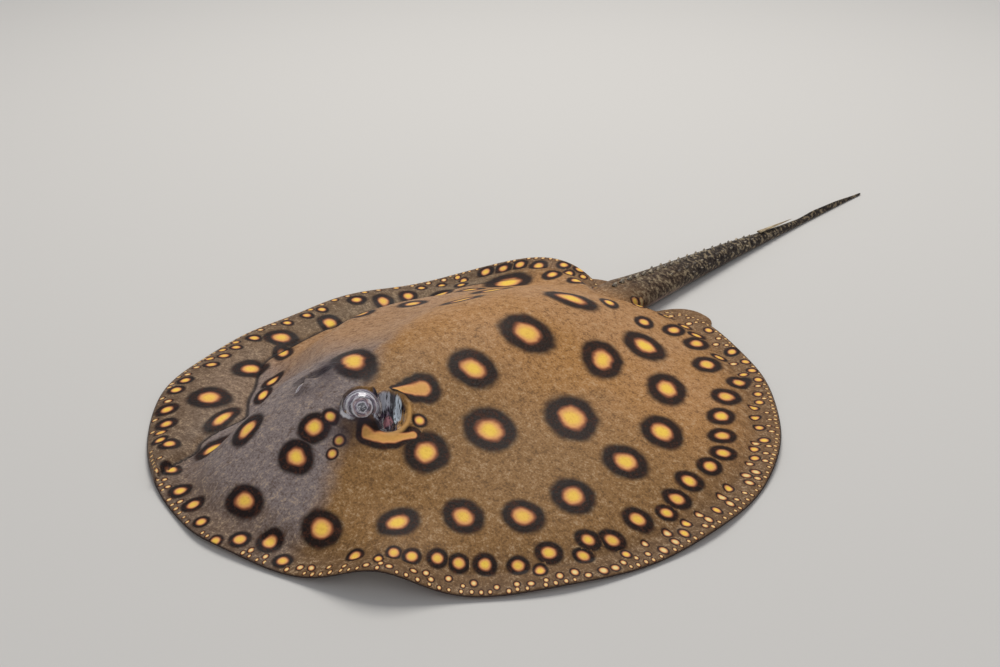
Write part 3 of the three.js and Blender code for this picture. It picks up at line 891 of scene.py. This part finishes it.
# grain: fine dark and pale specks with a bump
grain, grainIn, grainOut = makeGroup("skin_grain", [
    ("Vector", "NodeSocketVector", None), ("Scale", "NodeSocketFloat", 900.0), ("Depth", "NodeSocketFloat", 1.0),
], [("Dark", "NodeSocketFloat"), ("Pale", "NodeSocketFloat"), ("Height", "NodeSocketFloat")])
w = Wiring(grain)
place, scale = grainIn.outputs["Vector"], grainIn.outputs["Scale"]
fine = w.noise(place, scale, 4.0, 0.72)
coarse = w.noise(place, w.times(scale, 0.31), 2.0, 0.55)
pits = w.voronoi(place, w.times(scale, 0.62))
blend = w.plus(w.times(fine, 0.65), w.times(coarse, 0.35))
w.put(w.remap(blend, 0.51, 0.38), grainOut.inputs["Dark"])
w.put(w.remap(blend, 0.51, 0.64), grainOut.inputs["Pale"])
w.put(w.times(w.plus(blend, w.times(pits, 0.5)), grainIn.outputs["Depth"]), grainOut.inputs["Height"])

# eye spot: golden core, peach rim, blurred dark ring
eyeSpot, spotIn, spotOut = makeGroup("eye_spot", [
    ("Offset", "NodeSocketVector", None), ("Core Share", "NodeSocketFloat", 0.6),
    ("Unevenness", "NodeSocketFloat", 0.0),
    ("Gold", "NodeSocketColor", skinColours["gold"]), ("Peach", "NodeSocketColor", skinColours["peach"]),
    ("Burnt", "NodeSocketColor", skinColours["burnt"]), ("Ring", "NodeSocketColor", skinColours["ring"]),
], [("Color", "NodeSocketColor"), ("Mask", "NodeSocketFloat")])
w = Wiring(eyeSpot)
far = w.plus(w.lengthOf(spotIn.outputs["Offset"]), spotIn.outputs["Unevenness"])
inner = w.math("DIVIDE", far, spotIn.outputs["Core Share"])
colour = w.mix(w.remap(inner, 0.35, 0.95), spotIn.outputs["Gold"], spotIn.outputs["Peach"])
colour = w.mix(w.remap(inner, 0.8, 1.14), colour, spotIn.outputs["Burnt"])
colour = w.mix(w.remap(inner, 0.98, 1.38), colour, spotIn.outputs["Ring"])
w.put(colour, spotOut.inputs["Color"])
w.put(w.remap(far, 1.23, 0.88), spotOut.inputs["Mask"])


def newPaint(name):
    paint = bpy.data.materials.new(name)
    paint.use_nodes = True
    return paint, Wiring(paint.node_tree), paint.node_tree.nodes["Principled BSDF"]


def useGroup(w, group, values):
    node = w.add("Group", node_tree=group)
    for label, value in values.items():
        w.put(value, node.inputs[label])
    return node.outputs


def grainOn(w, scale, depth):
    place = w.add("TexCoord").outputs["Object"]
    return place, useGroup(w, grain, {"Vector": place, "Scale": scale, "Depth": depth})


def uvOf(w, name):
    return w.add("UVMap", uv_map=name).outputs["UV"]


def maskOf(w, name):
    return w.add("Attribute", attribute_name=name).outputs["Fac"]


# skin material
skinPaint, w, shader = newPaint("ray_skin")
c = skinColours
place, grains = grainOn(w, skinLook["grainScale"], 1.0)
broad = w.noise(place, 9.0, 3.0, 0.55)
middle = w.noise(place, 38.0, 4.0, 0.6)
placeX, placeY = w.split(place)
toLeftFront = w.timesPlus(placeX, -0.89, w.times(placeY, -0.456))
colour = w.mix(w.remap(w.plus(broad, w.times(middle, 0.4)), 0.5, 0.9), c["warm"], c["pink"])
# painted shade: olive darkening on the part of the disc nearer the camera
toNear = w.timesPlus(placeX, 0.5, w.times(placeY, -0.86))
nearSideShadeHere = w.times(w.remap(w.plus(toNear, w.times(middle, 0.05)), 0.02, 0.12), 0.7)
colour = w.mix(nearSideShadeHere, colour, c["olive"])
# painted reflected light: a bluish grey over the front of the disc on the animal's right, weaker on the folded fin and
# towards the rear
reflectionGreyHere = w.remap(w.plus(toLeftFront, w.times(w.minus(middle, 0.5), 0.03)), 0.026, 0.042)
offFold, foldHere = w.split(uvOf(w, "foldLine"))
onFin = w.times(w.remap(offFold, -1, 2), foldHere)
toRear = w.remap(w.timesPlus(middle, 0.04, placeY), -0.075, -0.005)
notGrey = w.math("MAXIMUM", w.times(onFin, 0.55), toRear)
reflectionGreyHere = w.times(reflectionGreyHere, w.timesPlus(notGrey, -0.72, 0.94))
colour = w.mix(reflectionGreyHere, colour, c["reflectionGrey"])
colour = w.mix(w.times(onFin, w.remap(placeY, -0.1, 0.03, 0.42, 0.8)), colour, c["fold"])
colour = w.lay(w.remap(middle, 0.55, 0.75), 0.35, colour, c["olive"])

# the free margin: darker, with fine rays across it
alongEdge, fromEdge = w.split(uvOf(w, "margin"))
stretched = w.fill(w.add("CombineXYZ"), X=w.times(alongEdge, 0.9), Y=w.times(fromEdge, 0.06))
rays = w.noise(stretched.outputs[0], 1.0, 3.0, 0.6)
marginHere = w.remap(w.timesPlus(middle, 14.0, fromEdge), 44, 14)
colour = w.lay(marginHere, 0.75, colour, c["margin"])
rayHere = w.times(w.remap(fromEdge, 62, 24), w.remap(rays, 0.46, 0.62))
colour = w.lay(rayHere, 0.3, colour, c["speckDark"])
colour = w.lay(grains["Dark"], 0.62, colour, c["speckDark"])
colour = w.lay(grains["Pale"], 0.42, colour, c["speckPale"])

# eye spots
wobble = w.times(w.minus(w.noise(place, 100.0, 2.0, 0.5), 0.5), 0.3)
core, hueOf = w.split(uvOf(w, "spotKind"))
gold = w.mix(w.math("MULTIPLY", hueOf, 0.3, clamp=True), c["gold"], c["peach"])
gold = w.mix(w.remap(hueOf, 1.4, 1.6), gold, c["tan"])
gold = w.mix(w.remap(hueOf, -0.4, -0.6), gold, c["straw"])
spot = useGroup(w, eyeSpot, {"Offset": uvOf(w, "spotOffset"), "Core Share": core, "Unevenness": wobble, "Gold": gold})
spotColour = w.lay(grains["Dark"], 0.16, spot["Color"], c["burnt"])
colour = w.lay(spot["Mask"], 0.97, colour, spotColour)

# painted shade round the eyes and along the fold crease
shadeHere = w.times(w.times(maskOf(w, "shade"), 0.9), w.remap(middle, 0.3, 0.6, 0.6, 1.0))
colour = w.mix(shadeHere, colour, c["shade"])
pale = w.timesPlus(w.minus(w.noise(place, 420.0, 2.0, 0.6), 0.5), 0.5, maskOf(w, "sickle"))
colour = w.mix(w.remap(pale, 0.2, 0.8), colour, c["lidPale"])
colour = w.mix(w.remap(fromEdge, 1.2, 0.2), colour, c["edgeLine"])
# painted shade: a dark line in the crease along the fold
besideFold = w.math("ABSOLUTE", w.timesPlus(middle, 1.5, w.minus(offFold, 0.7)))
foldCreaseShade = w.times(w.remap(besideFold, 2.2, 0.3), foldHere)
colour = w.lay(foldCreaseShade, 0.85, colour, c["ring"])

# tail: dark, with pale speckles
specks = w.noise(place, 300.0, 3.0, 0.62)
rootHere = w.remap(w.timesPlus(w.minus(middle, 0.5), 0.06, placeY), 0.3, 0.19)
tailColour = w.lay(rootHere, 0.55, c["tailDark"], c["margin"])
tailColour = w.lay(w.remap(specks, 0.51, 0.62), 0.78, tailColour, c["tailPale"])
tailColour = w.lay(w.remap(specks, 0.47, 0.38), 0.7, tailColour, c["ring"])
tailColour = w.lay(grains["Dark"], 0.35, tailColour, c["ring"])
colour = w.mix(maskOf(w, "tailness"), colour, tailColour)

# belly: whitish, dusky towards the margin
bellyColour = w.mix(w.remap(w.timesPlus(middle, 40.0, fromEdge), 58, 22), c["belly"], c["bellyEdge"])
bellyColour = w.lay(w.remap(broad, 0.45, 0.7), 0.4, bellyColour, c["bellyPink"])
bellyColour = w.lay(grains["Dark"], 0.12, bellyColour, c["bellyEdge"])
bellyColour = w.lay(maskOf(w, "slits"), 0.8, bellyColour, c["fleshDark"])
colour = w.mix(maskOf(w, "belly"), colour, bellyColour)

# spiracle: painted shade dark inside, painted glints at its upper lip and in the hollow, flesh on its outer wall
hollow = w.add("Attribute", attribute_name="spiracleOffset").outputs["Vector"]
fromMiddle = w.lengthOf(hollow)
hollowX, hollowY = w.split(hollow)
inside = w.remap(w.timesPlus(hollowX, 0.12, fromMiddle), 1.12, 0.94)
onLeft = w.remap(placeX, -0.002, 0.004)
inside = w.times(inside, w.minus(1.0, maskOf(w, "belly")))
inside = w.times(inside, w.timesPlus(onLeft, 0.5, 0.5))
streaks = w.mapped(hollow, (4.4, 1.5, 1))
patch = w.noise(streaks, 1.0, 4.0, 0.65)


# soft patches in the hollow, their edges broken by the streaks: x, y, half width and height, colour; the silver and
# pale ones are painted glints
hollowPatches = [
    (-0.12, -0.1, 0.26, 0.3, "fleshRed"), (0.66, -0.1, 0.36, 0.6, "flesh"), (-0.45, 0.7, 0.32, 0.3, "silver"),
    (0.3, 0.6, 0.24, 0.36, "hollowGlint"), (-0.8, -0.55, 0.2, 0.25, "silver"),
]
hollowColour = w.mix(w.times(w.remap(patch, 0.5, 0.62), onLeft), c["hollowShade"], c["violet"])
for x, y, wide, tall, name in hollowPatches:
    away = w.lengthOf(w.mapped(hollow, (1 / wide, 1 / tall, 0), (-x / wide, -y / tall, 0)))
    patchHere = w.times(w.remap(w.timesPlus(patch, 2.4, away), 2.4, 2.0), onLeft)
    hollowColour = w.mix(patchHere, hollowColour, c[name])
# dark streaks of painted shade in the folds of the hollow
veins = w.noise(streaks, 2.6, 3.0, 0.6)
hollowColour = w.mix(w.remap(veins, 0.53, 0.6), hollowColour, c["hollowShade"])
outerLip = w.times(w.remap(w.math("ABSOLUTE", w.minus(fromMiddle, 1.12)), 0.2, 0.05), onLeft)
outerLip = w.times(outerLip, w.remap(w.timesPlus(hollowY, -0.6, hollowX), 0.4, 0.9))
colour = w.lay(outerLip, 0.8, colour, c["flesh"])
colour = w.mix(inside, colour, hollowColour)

w.put(colour, shader.inputs["Base Color"])
wet = w.times(inside, onLeft)
rough = w.timesPlus(grains["Dark"], 0.12, skinLook["roughness"])
w.put(w.minus(rough, w.times(wet, 0.22)), shader.inputs["Roughness"])
shader.inputs["Specular IOR Level"].default_value = skinLook["specular"]
shader.inputs["Coat Roughness"].default_value = skinLook["coatRoughness"]
w.put(w.timesPlus(wet, 0.6, 0.02), shader.inputs["Coat Weight"])
height = w.plus(grains["Height"], w.times(w.times(rays, 1.1), w.remap(fromEdge, 62, 20)))
height = w.timesPlus(w.times(patch, inside), 5.0, height)
w.bump(shader, height, skinLook["bumpDistance"], skinLook["bumpStrength"])
skin.data.materials.clear()
skin.data.materials.append(skinPaint)
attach(skin, "root")
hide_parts(*[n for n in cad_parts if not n.startswith("eye") and n != "sting"])
print("skin is finished,", len(mesh.polygons), "faces")


# eyes
eyeLook = {
    "segments": 72, "rings": 48, "corneaRise": 0.45, "corneaSpread": 32, "roughness": 0.22, "coatRoughness": 0.03,
    "pupil": tint(56, 52, 60), "silver": tint(208, 204, 210), "violet": tint(128, 112, 128), "slate": tint(86, 80, 90),
    # the darkest colour on the next line is painted shade where the ball goes in under the lid
    "blush": tint(168, 142, 142), "lidEdgeShade": tint(18, 14, 18), "rim": tint(176, 164, 160), "rimDark": tint(70, 58, 60),
}


def makeEye(side, name):
    centre, axis = Vector(eyeCentre(side) * mm), Vector(eyeAxis(side))
    deselectAll()
    turn = axis.to_track_quat("Z", "Y").to_euler()
    bpy.ops.mesh.primitive_uv_sphere_add(
        segments=eyeLook["segments"], ring_count=eyeLook["rings"], radius=eyeForm["radius"] * mm,
        location=centre, rotation=turn)
    eye = bpy.context.object
    eye.name = name
    applyPlace(eye)
    co = pointsOf(eye)
    out = (co - np.array(centre)) / (eyeForm["radius"] * mm)
    angle = np.degrees(np.arccos(np.clip(out @ np.array(axis), -1, 1)))
    rise = eyeLook["corneaRise"] * mm * hump(angle, eyeLook["corneaSpread"]) - 0.25 * mm * hump(angle - 62, 10)
    setPoints(eye, co + out * rise[:, None])
    across, upward = eyeAcross(axis)
    place = readAll(eye.data.loops, "vertex_index", int)
    dropUvs(eye)
    # the iris is mapped by the angle from the axis, 1 at a right angle
    forward = out @ np.array(axis)
    flat = out - np.outer(forward, np.array(axis))
    flat = flat / np.maximum(np.linalg.norm(flat, axis=1), 0.001)[:, None] * (angle / 90)[:, None]
    addUv(eye, "iris", (flat @ across)[place], (flat @ upward)[place])
    # front and back side by side for baking
    bakeU = 0.25 + 0.24 * (out @ across)[place] + 0.5 * (forward[place] < 0)
    addUv(eye, "OFBake", bakeU, 0.25 + 0.24 * (out @ upward)[place])
    makeActive(eye)
    bpy.ops.object.shade_smooth()
    return eye


eyePaint, w, shader = newPaint("eye_glassy")
iris = uvOf(w, "iris")
irisX, irisY = w.split(iris)
spanned = w.math("SQRT", w.timesPlus(irisX, irisX, w.times(irisY, irisY)))
ringAt = w.plus(spanned, w.times(w.minus(w.noise(iris, 5.0, 3.0, 0.6), 0.5), 0.2))
e = eyeLook
rings = w.ramp(ringAt, [
    (0.0, e["slate"]), (0.06, e["pupil"]), (0.13, e["pupil"]), (0.17, e["silver"]), (0.21, e["violet"]),
    (0.3, e["blush"]), (0.36, e["silver"]), (0.41, e["slate"]), (0.51, e["violet"]), (0.61, e["silver"]),
    (0.71, e["slate"]), (0.8, e["violet"]),
])
# broken threads that run along the rings
onRing = [w.times(w.math("DIVIDE", part, w.plus(spanned, 0.02)), 1.6) for part in (irisX, irisY)]
turned = w.fill(w.add("CombineXYZ"), X=onRing[0], Y=onRing[1], Z=w.times(spanned, 14.0))
threads = w.noise(turned.outputs[0], 1.0, 3.0, 0.6)
colour = w.lay(w.remap(threads, 0.52, 0.6), 0.75, rings, e["pupil"])
colour = w.lay(w.remap(threads, 0.46, 0.38), 0.8, colour, e["silver"])
# painted shade: a dark band at the ball's edge, where it goes in under the lid
colour = w.mix(w.remap(spanned, 0.88, 0.96), colour, e["lidEdgeShade"])
w.put(colour, shader.inputs["Base Color"])
shader.inputs["Roughness"].default_value = eyeLook["roughness"]
shader.inputs["Coat Weight"].default_value = 1.0
shader.inputs["Coat Roughness"].default_value = eyeLook["coatRoughness"]
w.bump(shader, threads, 0.0005, 0.3)

for side, name, node in ((1, "eyeball_left", "eye_left"), (-1, "eyeball_right", "eye_right")):
    eye = makeEye(side, name)
    eye.data.materials.append(eyePaint)
    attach(eye, "root")
    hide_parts(node)
print("eyes are finished")


# pale rim round the left eye, widest below and in front
rimForm = {"major": 10.35, "minor": 0.5, "thin": 0.35, "wide": 1.7, "toFront": 205, "spread": 62, "sunk": 1.2}


def makeRim():
    centre, axis = Vector(eyeCentre(1)), Vector(eyeAxis(1))
    place = (centre - axis * rimForm["sunk"]) * mm
    deselectAll()
    bpy.ops.mesh.primitive_torus_add(
        major_radius=rimForm["major"] * mm, minor_radius=rimForm["minor"] * mm, major_segments=96, minor_segments=14,
        location=place, rotation=axis.to_track_quat("Z", "Y").to_euler())
    rim = bpy.context.object
    rim.name = "eye_rim_left"
    applyPlace(rim)
    co = pointsOf(rim)
    across, upward = eyeAcross(axis)
    out = co - np.array(place)
    around = np.degrees(np.arctan2(out @ upward, out @ across))
    toward = np.radians(around)[:, None]
    middle = np.cos(toward) * across + np.sin(toward) * upward
    middle = middle * rimForm["major"] * mm + np.array(place)
    gap = np.abs((around - rimForm["toFront"] + 180) % 360 - 180)
    size = rimForm["thin"] + (rimForm["wide"] - rimForm["thin"]) * hump(gap, rimForm["spread"])
    setPoints(rim, middle + (co - middle) * (size / rimForm["minor"])[:, None])
    dropUvs(rim)
    makeActive(rim)
    bpy.ops.object.shade_smooth()
    return rim


rimPaint, w, shader = newPaint("eye_rim")
place, grains = grainOn(w, 900.0, 0.6)
mottle = w.noise(place, 420.0, 3.0, 0.6)
colour = w.mix(w.remap(mottle, 0.42, 0.62), eyeLook["rimDark"], eyeLook["rim"])
colour = w.lay(grains["Pale"], 0.5, colour, eyeLook["silver"])
w.put(colour, shader.inputs["Base Color"])
shader.inputs["Roughness"].default_value = 0.35
shader.inputs["Coat Weight"].default_value = 0.6
shader.inputs["Coat Roughness"].default_value = 0.1
w.bump(shader, grains["Height"], 0.0004)
rim = makeRim()
rim.data.materials.append(rimPaint)
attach(rim, "root")
print("eye rim is finished")


# sting and thorns
stingForm = {
    "root": 373, "length": 52, "width": 4.2, "thickness": 1.9, "lift": 1.5, "barbs": 17, "barbDepth": 0.28, "cuts": 99,
    "horn": tint(206, 188, 150), "hornDark": tint(120, 96, 66),
}

deselectAll()
bpy.ops.mesh.primitive_cylinder_add(vertices=16, radius=1, depth=2)
sting = bpy.context.object
sting.name = "tail_sting"
toMode("EDIT")
bpy.ops.mesh.select_mode(type="EDGE")
bpy.ops.mesh.select_all(action="DESELECT")
toMode("OBJECT")
for edge in sting.data.edges:
    a, b = (sting.data.vertices[i].co for i in edge.vertices)
    edge.select = abs(a.z - b.z) > 1
toMode("EDIT")
bpy.ops.mesh.subdivide(number_cuts=stingForm["cuts"])
toMode("OBJECT")
co = pointsOf(sting)
t = (co[:, 2] + 1) / 2
y = stingForm["root"] + t * stingForm["length"]
slim = 1 - 0.95 * t ** 1.7
saw = (t * stingForm["barbs"]) % 1
barb = stingForm["barbDepth"] * saw * ease((t - 0.2) / 0.15) * np.abs(co[:, 0]) ** 4
groove = 1 - 0.35 * hump(np.abs(co[:, 0]) - 0.45, 0.16)
x = spineX(y) + co[:, 0] * (stingForm["width"] / 2) * slim * (1 + barb) / 1.12
high = co[:, 1] * (stingForm["thickness"] / 2) * (1 - 0.75 * t) * groove
z = tailHeight(y) * 0.95 + stingForm["thickness"] / 2 + 0.5 + stingForm["lift"] * t + high
setPoints(sting, np.stack([x, y, z], 1) * mm)
makeActive(sting)
toMode("EDIT")
bpy.ops.mesh.select_all(action="SELECT")
bpy.ops.mesh.normals_make_consistent(inside=False)
toMode("OBJECT")
bpy.ops.object.shade_smooth_by_angle(angle=math.radians(40))

hornPaint, w, shader = newPaint("sting_horn")
place, grains = grainOn(w, 1100.0, 0.5)
lines = w.noise(w.mapped(place, (900, 60, 900)), 1.0, 3.0, 0.6)
colour = w.mix(w.remap(lines, 0.4, 0.65), stingForm["hornDark"], stingForm["horn"])
colour = w.lay(grains["Dark"], 0.4, colour, stingForm["hornDark"])
w.put(colour, shader.inputs["Base Color"])
w.put(w.timesPlus(lines, 0.3, 0.3), shader.inputs["Roughness"])
w.bump(shader, lines, 0.0003)
sting.data.materials.append(hornPaint)
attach(sting, "root")
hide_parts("sting")

thornForm = {
    "first": 178, "last": 362, "pitch": 9, "height": 3.3, "sides": 9, "leanBack": -46, "rooted": 1.4,
    # share of the half width, first, last, pitch, height
    "sideRows": [(0.62, 236, 366, 11, 1.7), (0.93, 262, 400, 12, 1.3)],
    "base": tint(74, 62, 50), "point": tint(176, 158, 128),
}


def addThorn(x, y, z, tall, outward):
    back = Matrix.Rotation(math.radians(thornForm["leanBack"]), 4, "X")
    turn = Matrix.Rotation(math.radians(outward), 4, "Y") @ back
    deselectAll()
    bpy.ops.mesh.primitive_cone_add(
        vertices=thornForm["sides"], radius1=tall * 0.62 * mm, radius2=0.05 * mm,
        depth=(tall + thornForm["rooted"]) * mm, location=Vector((x, y, z)) * mm, rotation=turn.to_euler())
    thorn = bpy.context.object
    toMode("EDIT")
    bpy.ops.mesh.subdivide(number_cuts=1, smoothness=0.6)
    toMode("OBJECT")
    return thorn


thorns = []
y = thornForm["first"]
while y < thornForm["last"]:
    tall = thornForm["height"] * (1 - 0.4 * float(ease((y - 190) / 160)))
    thorns.append(addThorn(float(spineX(float(y))), y, float(tailHeight(y)) * 0.95 + tall * 0.34, tall, 0))
    y += thornForm["pitch"]
for share, first, last, pitch, tall in thornForm["sideRows"]:
    for side in (1, -1):
        y = first
        while y < last:
            up = math.sqrt(1 - share ** 2)
            x = float(spineX(float(y))) + side * share * float(tailWidth(y)) / 2
            z = float(tailHeight(y)) / 2 * (0.9 + up)
            outward = side * math.degrees(math.asin(share)) * 0.8
            thorns.append(addThorn(x + side * share * 0.3, y, z + 0.3 * up, tall, outward))
            y += pitch
deselectAll()
for thorn in thorns:
    thorn.select_set(True)
bpy.context.view_layer.objects.active = thorns[0]
bpy.ops.object.join()
thornRow = bpy.context.object
thornRow.name = "tail_thorns"
applyPlace(thornRow)
bpy.ops.object.shade_smooth_by_angle(angle=math.radians(50))
thornPaint, w, shader = newPaint("thorn_horn")
place, grains = grainOn(w, 1100.0, 0.5)
mottle = w.noise(place, 300.0, 3.0, 0.6)
colour = w.mix(w.remap(mottle, 0.4, 0.66), thornForm["base"], thornForm["point"])
colour = w.lay(grains["Dark"], 0.5, colour, thornForm["base"])
w.put(colour, shader.inputs["Base Color"])
shader.inputs["Roughness"].default_value = 0.45
w.bump(shader, grains["Height"], 0.0003)
thornRow.data.materials.append(thornPaint)
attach(thornRow, "root")
print("sting and thorns are finished,", len(thorns), "thorns")
